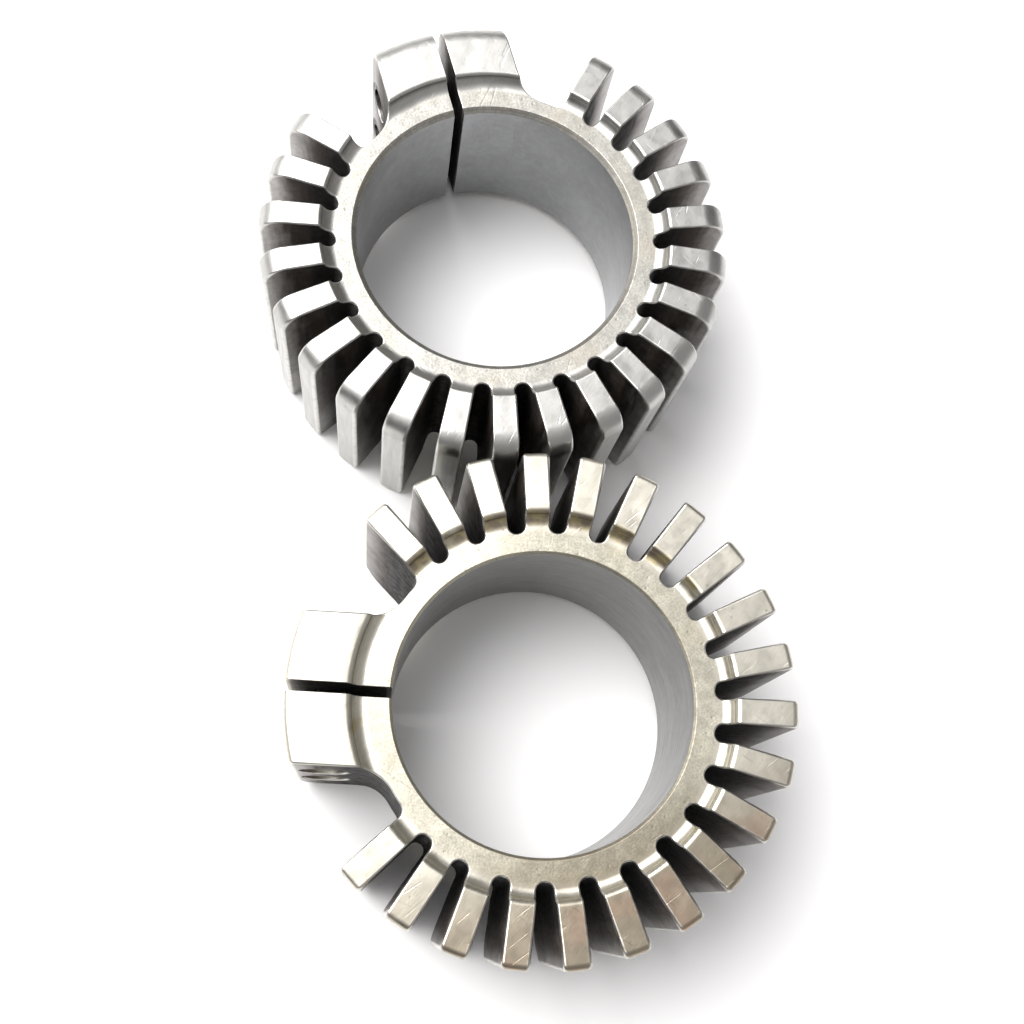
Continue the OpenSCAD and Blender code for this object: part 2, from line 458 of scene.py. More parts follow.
def circle(level, y, r, out_y, lean):
    """Corners of a circle round a screw axis at y. Lean tips the normal from radial to out_y."""
    corners = []
    for k in range(HOLE_AROUND):
        co, si = math.cos(2 * math.pi * k / HOLE_AROUND), math.sin(2 * math.pi * k / HOLE_AROUND)
        normal = (-co * math.cos(lean), out_y * math.sin(lean), -si * math.cos(lean))
        corners.append(((SCREW_R + r * co, y, level + r * si), normal, math.sin(2 * lean)))
    return corners


def add_hole(skin, place, level, steps):
    """Stepped round hole along the screw axis. Steps lists (y, radius) from mouth to slit.
    Returns the mouth circles in the flank and in the slit wall."""
    (flank, mouth_r), (shoulder, inner_r), (slit, _) = steps
    mouth = []
    for k in range(5):
        a = math.pi / 2 * k / 4
        mouth.append(circle(level, flank - MOUTH_R * (1 - math.sin(a)),
                            mouth_r + MOUTH_R * (1 - math.cos(a)), 1, a))
    mouth.reverse()
    chains = [mouth + [circle(level, shoulder, mouth_r, 1, 0)]]
    chains.append([circle(level, shoulder, r, 1, math.pi / 2) for r in (mouth_r, inner_r)])
    inside = [circle(level, shoulder, inner_r, 1, 0)]
    for k in range(4):
        a = math.pi / 2 * k / 3
        inside.append(circle(level, slit + SLIT_EDGE_R * (1 - math.sin(a)),
                             inner_r + SLIT_EDGE_R * (1 - math.cos(a)), -1, a))
    chains.append(inside)
    for chain in chains:
        skin.band([row + row[:1] for row in chain], place)
    return mouth[0], inside[-1]


def add_boss_half(skin, place, steps):
    """Half of the boss, on the +Y side of the slit, with its two screw holes."""
    radii = neck_rows(BOSS_ROOT, 10)
    wall = SLIT / 2
    first = wall + SLIT_EDGE_R
    points, inner, outer = [], [], []
    for point, strip in outline(BOSS_ROOT, radii, TIP_R, FRONT.corner, BACK.corner, BOSS_EDGE_R):
        last = strip[-1][0][1]
        inner.append([section_corner(point, first + (last - first) * k / BOSS_ACROSS)
                      for k in range(BOSS_ACROSS + 1)])
        points.append(point)
        outer.append(strip)
    spread = [math.atan2(c[0][1], c[0][0]) for c in inner[0]]
    for point in BORE_ROWS:
        near = math.asin(first / point[0])
        share = (spread[-1] - near) / (spread[-1] - spread[0])
        inner.append([round_corner(*point, spread[-1] - (spread[-1] - a) * share) for a in spread])
    sawn = [[rounded_corner(point, wall, -1, SLIT_EDGE_R, theta) for theta in STRIP]
            for point in points + BORE_ROWS]
    skin.band(inner, place, closed=True)
    skin.band(sawn, place, closed=True)
    flank = add_side(skin, outer, sum(1 for r in radii if r <= BOSS_ROOT.end_r), place)
    holes = [add_hole(skin, place, level, steps) for level in (-SCREW_LEVEL, SCREW_LEVEL)]
    mouths, exits = zip(*holes)
    skin.sheet(flank, mouths, (0.0, 1.0, 0.0), place)
    skin.sheet([row[0] for row in sawn], exits, (0.0, -1.0, 0.0), place)


def ring_mesh(name, place, seed):
    """The whole ring. The seed varies how much the tumbling took off each fin's corners."""
    skin = Skin()
    draw = random.Random(seed)
    for i in range(FIN_COUNT):
        degrees = FIRST_FIN + i * FIN_PITCH
        tip_r = TIP_R - draw.uniform(0.0, TIP_WEAR)
        front_corner = FRONT.corner * draw.uniform(0.93, 1.05)
        back_corner = BACK.corner * draw.uniform(0.88, 1.2)
        add_fin(skin, lambda c: turned(c, degrees), tip_r, front_corner, back_corner)
    for side in (unmoved, mirrored):
        add_gap(skin, side)
    head_side = [(BOSS_H, COUNTERBORE_R), (SEAT_Y, CLEARANCE_R), (SLIT / 2, CLEARANCE_R)]
    far_side = [(BOSS_H, INSERT_R), (SHOULDER_Y, CLEARANCE_R), (SLIT / 2, CLEARANCE_R)]
    add_boss_half(skin, mirrored, head_side)
    add_boss_half(skin, unmoved, far_side)
    return skin.build(name, place)


# ---- Screws, washers and inserts, built along +Z on the screw's axis ----

AROUND, WASHER_AROUND = 96, 72
KNURLS = 24
SCREW_KNURL, INSERT_KNURL = 0.14, 0.1      # depth of the knurling
SCREW_TIP, THREAD_START, HEAD_SEAT, HEAD_TOP = -10.6, -10.2, 5.4, 9.4
HEAD_R, SHANK_R, THREAD_ROOT = 3.5, 1.95, 1.58
SCREW_TIP_R, NECK_R, SEAT_R, CROWN_R = 1.25, 1.75, 3.3, 3.1
PITCH = 0.7
SOCKET_MOUTH_R, SOCKET_BEVEL = 1.85, 0.15
SOCKET_FLAT, SOCKET_FLOOR, SOCKET_POINT = 1.5, 7.4, 6.8
WASHER_IN, WASHER_OUT, WASHER_T, WASHER_SOFT = 2.08, 3.48, 1.2, 0.18
WASHER_GAP, WASHER_LEAN = 0.62, math.radians(25)
INSERT_OUT, INSERT_MINOR, INSERT_MAJOR = 2.78, 2.04, 2.34
INSERT_LOW, INSERT_HIGH, INSERT_GROOVE = -9.7, -3.2, 2.55
INSERT_END_IN, INSERT_END_OUT = 2.35, 2.5  # the flat end faces, between their bevels


def rounded_path(points, steps=3):
    """Rounds a path of (r, z, rounding, knurl) and gives (r, z, nr, nz, edge, knurl) rows.
    The outside lies to the right of the path."""
    rows = []
    last = len(points) - 1
    for i, (r, z, rounding, knurl) in enumerate(points):
        before = heading(points[i - 1], points[i]) if i else heading(points[0], points[1])
        after = heading(points[i], points[i + 1]) if i < last else before
        turn = math.atan2(math.sin(after - before), math.cos(after - before))
        back = rounding * math.tan(abs(turn) / 2)
        side = 1 if turn >= 0 else -1
        centre_r = r - back * math.cos(before) - side * rounding * math.sin(before)
        centre_z = z - back * math.sin(before) + side * rounding * math.cos(before)
        for k in range(steps + 1):
            along = before + turn * k / steps
            nr, nz = math.sin(along), -math.cos(along)
            edge = math.sin(math.pi * k / steps) if rounding and side > 0 else 0.0
            rows.append((centre_r + side * rounding * nr, centre_z + side * rounding * nz,
                         nr, nz, edge, knurl))
    return rows


def heading(start, end):
    return math.atan2(end[1] - start[1], end[0] - start[0])


def spin(skin, rows, depth=0.0):
    """Revolves the rows of a path. Depth is how far the knurling is cut in."""
    bands = []
    for r, z, nr, nz, edge, knurl in rows:
        band = []
        for k in range(AROUND + 1):
            angle = 2 * math.pi * (k % AROUND) / AROUND
            cut = depth * knurl
            lean = cut * KNURLS * math.sin(KNURLS * angle) / 2 / max(r, 1.0) * nr
            radius = r - cut * (1 - math.cos(KNURLS * angle)) / 2
            co, si = math.cos(angle), math.sin(angle)
            normal = (nr * co - lean * si, nr * si + lean * co, nz)
            band.append(((radius * co, radius * si, z), normal, edge))
        bands.append(band)
    skin.band(bands)


def thread(skin, low, high, root, crest, end, facing_out):
    """Helical thread between two heights, fading into the end radius over half a turn.
    Its profile lists (share of the pitch, radius)."""
    profile = [(0.0, root), (0.25, root), (0.56, crest), (0.69, crest), (1.0, root)]
    fade = PITCH / 2
    side = 1 if facing_out else -1
    for lap in range(-1, math.ceil((high - low) / PITCH) + 1):
        for (u0, r0), (u1, r1) in zip(profile, profile[1:]):
            length = math.hypot(r1 - r0, (u1 - u0) * PITCH)
            nr, nz = side * (u1 - u0) * PITCH / length, side * (r0 - r1) / length
            rows = []
            for u, r in ((u0, r0), (u1, r1)):
                row = []
                for k in range(AROUND + 1):
                    z = min(high, max(low, low + (lap + u + k / AROUND) * PITCH))
                    radius = end + (r - end) * min(1.0, (z - low) / fade, (high - z) / fade)
                    row.append(round_corner(radius, z, nr, nz, 2 * math.pi * (k % AROUND) / AROUND))
                rows.append(row)
            skin.band(rows)


def hex_socket(skin):
    """Six-sided socket with a bevelled mouth and a drilled point at its bottom."""
    for flat in range(6):
        middle = math.radians(60 * flat + 30)
        inward = (-math.cos(middle), -math.sin(middle), 0.0)
        mouth, rim, foot, lead, point = [], [], [], [], []
        for k in range(AROUND // 6 + 1):
            angle = math.radians(60 * flat) + 2 * math.pi * k / AROUND
            r = SOCKET_FLAT / math.cos(angle - middle)
            mouth.append(round_corner(SOCKET_MOUTH_R, HEAD_TOP, -0.7, 0.7, angle, 0.6))
            rim.append(round_corner(r, HEAD_TOP - SOCKET_BEVEL, -0.7, 0.7, angle, 0.6))
            foot.append(round_corner(r, SOCKET_FLOOR, 0.0, 1.0, angle))
            lead.append(round_corner(SOCKET_FLAT, SOCKET_FLOOR, 0.0, 1.0, angle))
            point.append(round_corner(0.0, SOCKET_POINT, -0.37, 0.93, angle))
        skin.band([mouth, rim])
        skin.band([[(p, inward, e) for p, _, e in row] for row in (rim, foot)])
        skin.band([foot, lead])
        skin.band([[(p, c[1], e) for (p, _, e), c in zip(lead, point)], point])


def cap_screw_mesh(name):
    """Knurled cap screw with a six-sided socket and a rolled thread."""
    skin = Skin()
    neck = HEAD_SEAT - 0.9
    spin(skin, rounded_path([(0.0, SCREW_TIP, 0, 0), (SCREW_TIP_R, SCREW_TIP, 0.1, 0),
                             (THREAD_ROOT, THREAD_START, 0, 0)]))
    thread(skin, THREAD_START, neck, THREAD_ROOT, SHANK_R, THREAD_ROOT, True)
    spin(skin, rounded_path([
        (THREAD_ROOT, neck, 0, 0), (NECK_R, neck + 0.3, 0, 0), (NECK_R, HEAD_SEAT, 0.15, 0),
        (SEAT_R, HEAD_SEAT, 0.12, 0), (HEAD_R, HEAD_SEAT + 0.2, 0.12, 0),
        (HEAD_R, HEAD_SEAT + 0.35, 0, 0), (HEAD_R, HEAD_SEAT + 0.55, 0, 1),
        (HEAD_R, HEAD_TOP - 0.9, 0, 1), (HEAD_R, HEAD_TOP - 0.7, 0, 0),
        (HEAD_R, HEAD_TOP - 0.4, 0.2, 0), (CROWN_R, HEAD_TOP, 0.2, 0),
        (SOCKET_MOUTH_R, HEAD_TOP, 0, 0)]), SCREW_KNURL)
    hex_socket(skin)
    return skin.build(name)


def washer_section():
    """Rounded rectangle of the washer's wire, as (r, z, nr, nz, edge)."""
    low, high, soft = SEAT_Y, SEAT_Y + WASHER_T, WASHER_SOFT
    rows = []
    for r, z, start in ((WASHER_OUT, low, -90), (WASHER_OUT, high, 0),
                        (WASHER_IN, high, 90), (WASHER_IN, low, 180)):
        centre_r = r - soft if r == WASHER_OUT else r + soft
        centre_z = z - soft if z == high else z + soft
        for k in range(5):
            a = math.radians(start + 90 * k / 4)
            rows.append((centre_r + soft * math.cos(a), centre_z + soft * math.sin(a),
                         math.cos(a), math.sin(a), math.sin(math.pi * k / 4)))
    return rows


def lock_washer_mesh(name):
    """Spring washer, flattened, with a slanted cut across it at +X."""
    skin = Skin()
    bands = []
    for r, z, nr, nz, edge in washer_section():
        rise = (z - SEAT_Y - WASHER_T / 2) * math.tan(WASHER_LEAN)
        half = WASHER_GAP / 2 / math.cos(WASHER_LEAN)
        start = math.asin((half - rise) / r)
        end = 2 * math.pi + math.asin((-half - rise) / r)
        bands.append([round_corner(r, z, nr, nz, start + (end - start) * k / WASHER_AROUND, edge)
                      for k in range(WASHER_AROUND + 1)])
    skin.band(bands, closed=True)
    slope = (0.0, math.cos(WASHER_LEAN), math.sin(WASHER_LEAN))
    for which, side in ((0, -1), (-1, 1)):
        skin.face([(band[which][0], tuple(side * c for c in slope), band[which][2]) for band in bands])
    return skin.build(name)


def insert_mesh(name):
    """Knurled press-in bush with a retaining groove and a cut thread."""
    skin = Skin()
    middle = (INSERT_LOW + INSERT_HIGH) / 2
    out = INSERT_OUT
    spin(skin, rounded_path([
        (INSERT_MINOR, INSERT_LOW + 0.3, 0, 0),
        (INSERT_END_IN, INSERT_LOW, 0.06, 0), (INSERT_END_OUT, INSERT_LOW, 0.06, 0),
        (out, INSERT_LOW + 0.3, 0, 0), (out, INSERT_LOW + 0.35, 0, 1), (out, middle - 0.6, 0, 1),
        (INSERT_GROOVE, middle - 0.6, 0, 0), (INSERT_GROOVE, middle + 0.6, 0, 0),
        (out, middle + 0.6, 0, 1), (out, INSERT_HIGH - 0.35, 0, 1), (out, INSERT_HIGH - 0.3, 0, 0),
        (INSERT_END_OUT, INSERT_HIGH, 0.06, 0), (INSERT_END_IN, INSERT_HIGH, 0.06, 0),
        (INSERT_MINOR, INSERT_HIGH - 0.3, 0, 0)]), INSERT_KNURL)
    thread(skin, INSERT_LOW + 0.3, INSERT_HIGH - 0.3, INSERT_MAJOR, INSERT_MINOR, INSERT_MINOR, False)
    return skin.build(name)


# ---- Where each ring lies, from the frame ----

def bore_centre(which):
    return Vector(MOUNTS[f"bore_{which}"]["pos_m"])


def slit_angle(which):
    hinge = Vector(HINGES[f"screw_{which}_upper"]["pos_m"])
    toward = hinge - bore_centre(which)
    return math.atan2(toward.y, toward.x)


def ring_place(which):
    """Ring A lies front face up, and ring B is turned over about its slit."""
    place = Matrix.Translation(bore_centre(which)) @ Matrix.Rotation(slit_angle(which), 4, "Z")
    if which == "b":
        place = place @ Matrix.Rotation(math.pi, 4, "X")
    return place


def screw_place(which, level):
    """The screw axis runs across the slit, with the head end at the ring's -Y side."""
    upward = 1 if (level == "upper") == (which == "a") else -1
    offset = Matrix.Translation(Vector((SCREW_R, 0.0, upward * SCREW_LEVEL)) * MM)
    return ring_place(which) @ offset @ Matrix.Rotation(math.pi / 2, 4, "X")


def add_object(name, data, place=Matrix()):
    added = bpy.data.objects.new(name, data)
    bpy.context.scene.collection.objects.link(added)
    added.matrix_world = place
    return added


def add_piece(name, mesh, material, place, body, slot, *nodes):
    mesh.materials.append(material)
    piece = add_object(name, mesh, place)
    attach(piece, body)
    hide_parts(*nodes)


# ---- Node trees ----

class Nodes:
    """Short calls that add a node, link or set its inputs and return its output."""

    def __init__(self, tree):
        self.tree = tree

    def add(self, kind, inputs=(), **settings):
        node = self.tree.nodes.new(kind)
        for name, value in settings.items():
            setattr(node, name, value)
        for key, value in dict(inputs).items():
            self.feed(node.inputs[key], value)
        return node

    def feed(self, socket, value):
        if isinstance(value, bpy.types.NodeSocket):
            self.tree.links.new(value, socket)
        elif isinstance(value, tuple) and len(value) == 3 and socket.type == "RGBA":
            socket.default_value = (*value, 1.0)
        else:
            socket.default_value = value

    def math(self, operation, a, b=0.0):
        return self.add("ShaderNodeMath", {0: a, 1: b}, operation=operation).outputs[0]

    def plus(self, a, b):
        return self.math("ADD", a, b)

    def minus(self, a, b):
        return self.math("SUBTRACT", a, b)

    def times(self, a, b):
        return self.math("MULTIPLY", a, b)

    def size(self, a):
        return self.math("ABSOLUTE", a)

    def distance(self, a, b):
        return self.math("SQRT", self.plus(self.times(a, a), self.times(b, b)))

    def ramp(self, value, low, high, to_low=0.0, to_high=1.0):
        """Smooth step of value from low to high."""
        inputs = {0: value, 1: low, 2: high, 3: to_low, 4: to_high}
        return self.add("ShaderNodeMapRange", inputs, interpolation_type="SMOOTHSTEP").outputs[0]


# ---- Stage: floor, light and camera ----

EYE = Vector((100.5, -28.1, 217.6)) * MM
AIM = Vector((42.3, -0.45, 0.0)) * MM
PICTURE_UP = 174.41        # where the picture's top points, in degrees from +X on the floor
LENS, SENSOR = 49.35, 36.0
CENTRE_SHIFT = 0.0015
UPWARD = Vector((0.0, 0.0, 1.0))
DIM_ROOM = 0.13            # light from the horizon
# Glows: direction, where the growth starts and ends (cosines), and how much light is added
CEILING = (Vector((-0.15, -0.30, 0.94)), 0.50, 1.0, 0.66)
FAR_WALL = (Vector((0.62, 0.66, 0.42)), 0.25, 0.95, 0.32)
WINDOW = (Vector((-0.42, -0.50, 0.76)), 0.72, 0.96, 2.9)
SILL = (UPWARD, 0.30, 0.72, 1.0)
SKIRTING = (Vector((-0.88, -0.40, 0.15)), 0.45, 1.0, 0.40)
ROOM_COLOUR = (1.0, 0.985, 0.99)
KEY_PLACE, KEY_AIM = Vector((-0.30, -0.42, 0.75)), Vector((0.04, 0.0, 0.0))
KEY_SIZE, KEY_POWER, KEY_COLOUR = 0.9, 9.0, (1.0, 0.99, 0.975)
FLOOR_HALF = 3.0


def aimed(eye, aim, up):
    """Placement at eye of a camera or light that looks at aim, with up toward its own top."""
    back = (eye - aim).normalized()
    right = up.cross(back).normalized()
    turn = Matrix((right, back.cross(right), back)).transposed()
    return Matrix.Translation(eye) @ turn.to_4x4()


def make_camera():
    data = bpy.data.cameras.new("camera")
    data.lens = LENS
    data.sensor_width = SENSOR
    data.shift_x = CENTRE_SHIFT
    data.clip_start, data.clip_end = 0.01, 10.0
    up = math.radians(PICTURE_UP)
    place = aimed(EYE, AIM, Vector((math.cos(up), math.sin(up), 0.0)))
    bpy.context.scene.camera = add_object("camera", data, place)


def make_light():
    data = bpy.data.lights.new("key", "AREA")
    data.shape = "DISK"
    data.size = KEY_SIZE
    data.energy = KEY_POWER
    data.color = KEY_COLOUR
    add_object("key", data, aimed(KEY_PLACE, KEY_AIM, Vector((0.0, 1.0, 0.0))))


def make_floor(material):
    mesh = bpy.data.meshes.new("floor")
    half, z = FLOOR_HALF, cad_low.z
    mesh.from_pydata([(-half, -half, z), (half, -half, z), (half, half, z), (-half, half, z)],
                     [], [(0, 1, 2, 3)])
    mesh.materials.append(material)
    add_object("floor", mesh)


def make_world():
    """Room light: dim, brighter overhead and toward two walls, with one wide soft window at the
    picture's upper left that ends above a sill."""
    world = bpy.data.worlds.new("room")
    bpy.context.scene.world = world
    world.use_nodes = True
    n = Nodes(world.node_tree)
    view = n.add("ShaderNodeTexCoord").outputs["Generated"]

    def glow(toward, start, end, gain):
        """Light that grows from nothing to gain as the view swings round toward a direction."""
        inputs = {0: view, 1: toward.normalized()}
        along = n.add("ShaderNodeVectorMath", inputs, operation="DOT_PRODUCT").outputs["Value"]
        return n.ramp(along, start, end, 0.0, gain)

    light = n.times(glow(*WINDOW), glow(*SILL))
    for each in (CEILING, FAR_WALL, SKIRTING):
        light = n.plus(light, glow(*each))
    background = n.tree.nodes["Background"]
    n.feed(background.inputs["Color"], ROOM_COLOUR)
    n.feed(background.inputs["Strength"], n.plus(light, DIM_ROOM))


# ---- Materials ----

class Surface(Nodes):
    """A material's nodes. Origin is where the piece's own frame lies in its mesh, and place is
    given in that frame."""

    def __init__(self, name, seed=0.0, origin=Matrix()):
        self.material = bpy.data.materials.new(name)
        self.material.use_nodes = True
        super().__init__(self.material.node_tree)
        self.shader = self.tree.nodes["Principled BSDF"]
        inputs = {"Vector": self.add("ShaderNodeTexCoord").outputs["Object"],
                  "Location": origin.to_translation(), "Rotation": origin.to_euler()}
        self.place = self.add("ShaderNodeMapping", inputs, vector_type="TEXTURE").outputs[0]
        self.shift = seed

    def axes(self):
        """The place's x, y and z, and how far it is from the z axis."""
        x, y, z = self.add("ShaderNodeSeparateXYZ", {0: self.place}).outputs
        return x, y, z, self.distance(x, y)

    def mix(self, factor, a, b, blend="MIX"):
        node = self.add("ShaderNodeMix", {0: factor, 6: a, 7: b}, data_type="RGBA", blend_type=blend)
        return node.outputs[2]

    def blend(self, factor, a, b):
        node = self.add("ShaderNodeMix", {0: factor, 2: a, 3: b}, data_type="FLOAT")
        return node.outputs[0]

    def field(self, offset, stretch=(1.0, 1.0, 1.0), turn=0.0):
        """Position to read a texture at: turned, stretched, and shifted so no two line up."""
        shift = 0.37 * (self.shift + offset)
        inputs = {"Vector": self.place, "Location": (shift, shift * 1.3, shift * 0.7),
                  "Rotation": (0.0, 0.0, turn), "Scale": stretch}
        return self.add("ShaderNodeMapping", inputs).outputs[0]

    def noise(self, size, detail=2.0, offset=0.0, stretch=(1.0, 1.0, 1.0), turn=0.0, pull=1.0):
        """Noise whose blotches are about size metres across. Turn and pull draw it out in lines."""
        if pull != 1.0:
            inputs = {"Vector": self.field(offset, turn=turn), "Scale": (pull, 1.0, pull)}
            where = self.add("ShaderNodeMapping", inputs).outputs[0]
        else:
            where = self.field(offset, stretch)
        inputs = {"Vector": where, "Scale": 1.0 / size, "Detail": detail, "Roughness": 0.6}
        return self.add("ShaderNodeTexNoise", inputs).outputs["Fac"]

    def cells(self, size, offset=0.0):
        """Distance from the nearest of scattered points about size metres apart."""
        inputs = {"Vector": self.field(offset), "Scale": 1.0 / size}
        return self.add("ShaderNodeTexVoronoi", inputs).outputs["Distance"]

    def attribute(self, name):
        return self.add("ShaderNodeAttribute", attribute_name=name).outputs["Fac"]

    def bump(self, height, depth, strength, under=None):
        inputs = {"Height": height, "Distance": depth, "Strength": strength}
        if under is not None:
            inputs["Normal"] = under
        return self.add("ShaderNodeBump", inputs).outputs[0]

    def finish(self, colour, roughness, normal, metallic=1.0):
        for name, value in (("Base Color", colour), ("Roughness", roughness),
                            ("Normal", normal), ("Metallic", metallic)):
            self.feed(self.shader.inputs[name], value)
        return self.material


# Each ring's looks: three colours, the strength of stain, of the painted shade and copper on the far
# side and of the painted sheen near the boss, and how much further out, in metres, the painted shade of
# the slots reaches
LOOKS = {
    "a": dict(top=(0.47, 0.465, 0.445), sand=(0.46, 0.45, 0.415), bore=(0.33, 0.335, 0.34),
              stain=0.1, shade_and_copper=0.0, painted_sheen=0.0, dark_in_hollows=0.0),
    "b": dict(top=(0.62, 0.595, 0.515), sand=(0.50, 0.48, 0.40), bore=(0.225, 0.225, 0.22),
              stain=0.85, shade_and_copper=1.0, painted_sheen=0.5, dark_in_hollows=0.0024),
}
WALL_LIGHT = (0.34, 0.325, 0.315)
# Slot walls: as-cast brown and black, deepened by painted shade towards the roots
SLOT_BROWN_AND_SHADE, OXIDE_AND_SHADE_BLACK = (0.060, 0.047, 0.039), (0.010, 0.008, 0.007)
# The brown of the stain also paints the shade line along the bore chamfer's ridge
STAIN_YELLOW, STAIN_AND_SHADE_BROWN = (0.50, 0.42, 0.22), (0.30, 0.24, 0.18)
PIT_COLOUR = (0.20, 0.185, 0.15)
# Tint of the painted shade on the side away from the light
FAR_SIDE_SHADE = (0.54, 0.49, 0.43)
COPPER = (0.40, 0.27, 0.20)
# Rubbed edges, made brighter still as a painted glint
RUBBED_GLINT = (0.64, 0.635, 0.61)

# Radii at which a ring's looks change: the start and end of each smooth step, in metres
BORE_END, ANNULUS_END = (0.0226, 0.0232), (0.0266, 0.0254)
RECESS_START, RECESS_END = (0.0262, 0.0272), (0.0292, 0.0282)
COPPER_START = (0.0288, 0.0300)
BLACK_END, BROWN_END, TIP_START = (0.0280, 0.0325), (0.0322, 0.0368), (0.0370, 0.0374)
DIRT_END = (0.0335, 0.0300)
RIDGE_R, RIDGE_HALF = (BORE_R + 0.42) * MM, (0.00008, 0.00003)
# Radii from a screw's axis over which the painted shade of the screw holes fades in
HOLE_SHADE = (0.00400, 0.00378)        # from a screw's axis


def shade(colour, *factors):
    """The colour made darker or lighter, by one factor or by one for each channel."""
    each = factors if len(factors) == 3 else factors * 3
    return tuple(c * f for c, f in zip(colour, each))


class Casting(Surface):
    """A ring's material, with the zones and patterns that its colour, roughness and relief share."""

    def __init__(self, which, seed, dark_in_hollows):
        super().__init__(f"cast_aluminium_{which}", seed, ring_place(which))
        self.x, self.y, self.z, self.r = self.axes()
        normal = self.add("ShaderNodeTexCoord").outputs["Normal"]
        up = self.size(self.add("ShaderNodeSeparateXYZ", {0: normal}).outputs[2])
        self.flat = self.ramp(up, 0.10, 0.55)
        self.wall = self.minus(1.0, self.flat)
        outside = self.ramp(self.r, *BORE_END)
        self.bore = self.times(self.wall, self.minus(1.0, outside))
        self.fin_wall = self.times(self.wall, outside)
        self.annulus = self.times(self.flat, self.ramp(self.r, *ANNULUS_END))
        self.recess = self.times(self.ramp(self.r, *RECESS_START), self.ramp(self.r, *RECESS_END))
        self.edge = self.math("SQRT", self.attribute("edge"))

        self.clouds = self.noise(0.009)
        self.mottle = self.noise(0.0014, 3.0, 2.0)
        self.grain = self.noise(0.00035, 2.0, 1.0)
        self.brushing = self.noise(0.00022, 1.0, 10.0, turn=0.9, pull=0.12)
        self.turning = self.noise(0.0005, 2.0, 3.0, (0.05, 0.05, 1.0))
        self.streaks = self.noise(0.0008, 2.0, 5.0, (1.0, 1.0, 0.10))
        self.pits = self.minus(1.0, self.ramp(self.cells(0.0019, 3.0), 0.05, 0.17))
        self.specks = self.minus(1.0, self.ramp(self.cells(0.0042, 4.0), 0.02, 0.07))

        # How deep into the slots a point lies; the ring's own amount moves the painted shade of the
        # slots further out
        ragged = self.times(self.minus(self.plus(self.clouds, self.streaks), 1.0), 0.005)
        self.deep = self.minus(self.plus(self.r, ragged), dark_in_hollows)
        self.dirt = self.times(self.fin_wall, self.ramp(self.deep, *DIRT_END))
        # The walls of the screw holes, painted black as shade
        beside = self.minus(self.x, SCREW_R * MM)
        above = self.minus(self.size(self.z), SCREW_LEVEL * MM)
        in_boss = self.ramp(self.size(self.y), (BOSS_H + 0.3) * MM, (BOSS_H + 0.2) * MM)
        self.hole_shade = self.times(self.ramp(self.distance(beside, above), *HOLE_SHADE), in_boss)
        # Rounded edges: rubbed bright by wear, with a painted glint; not inside the screw holes
        rubbed_and_glint = self.times(self.edge, self.ramp(self.mottle, 0.3, 0.6, 0.25, 0.65))
        self.rubbed_and_glint = self.times(rubbed_and_glint, self.minus(1.0, self.times(self.hole_shade, self.fin_wall)))


def face_colour(s, look):
    """Flat tops, the annulus inside them and the recess between the two."""
    # Tops: bright, with cloudy wear and a fine slanting grain
    top = s.mix(s.ramp(s.clouds, 0.3, 0.7), look["top"], shade(look["top"], 1.12))
    top = s.mix(s.ramp(s.mottle, 0.5, 0.75, 0.0, 0.25), top, shade(look["top"], 0.72))
    top = s.mix(s.ramp(s.brushing, 0.35, 0.65, 0.0, 0.16), top, shade(look["top"], 0.70))
    # Annulus: as cast, clouded and finely granular, with a painted sheen near the boss
    sand = look["sand"]
    sandy = s.mix(s.ramp(s.mottle, 0.3, 0.7), shade(sand, 0.86), shade(sand, 1.14))
    sandy = s.mix(s.ramp(s.grain, 0.35, 0.65, 0.0, 0.55), sandy, shade(sand, 0.60))
    sandy = s.mix(s.ramp(s.clouds, 0.45, 0.7, 0.0, 0.35), sandy, shade(sand, 0.95, 0.88, 0.76))
    # Painted sheen: the annulus is made lighter near the boss
    near_boss = s.ramp(s.plus(s.x, s.times(s.clouds, 0.008)), 0.002, 0.022)
    near_boss = s.times(near_boss, s.ramp(s.y, -0.008, 0.008, 0.25, 1.0))
    sandy = s.mix(s.times(near_boss, look["painted_sheen"]), sandy, shade(sand, 1.7))
    colour = s.mix(s.annulus, top, sandy)
    # Recess: brown and yellow patches, more of them towards +Y
    patches = s.plus(s.noise(0.006, 2.0, 6.0), s.ramp(s.y, 0.008, 0.026, -0.10, 0.16))
    stained = s.times(s.recess, s.ramp(patches, 0.48, 0.62))
    tint = s.mix(s.ramp(s.noise(0.002, 2.0, 7.0), 0.4, 0.6), STAIN_YELLOW, STAIN_AND_SHADE_BROWN)
    return s.mix(s.times(stained, look["stain"]), colour, tint)


def far_side_shade_and_copper(s, look, colour):
    """Painted shade: the side away from the light is made darker and browner, and has coppery patches.
    """
    aslant = s.plus(s.y, s.times(s.x, 0.4))
    low_side = s.ramp(s.plus(aslant, s.times(s.clouds, 0.006)), -0.010, -0.030)
    low_side = s.times(low_side, look["shade_and_copper"])
    # Painted shade, darker and browner, on the side away from the light
    dull = s.mix(1.0, colour, FAR_SIDE_SHADE, "MULTIPLY")
    colour = s.mix(s.times(low_side, s.minus(1.0, s.recess)), colour, dull)
    patchy = s.times(s.ramp(s.r, *COPPER_START), s.ramp(s.noise(0.008, 1.0, 14.0), 0.50, 0.66))
    return s.mix(s.times(low_side, s.times(patchy, 0.45)), colour, COPPER)


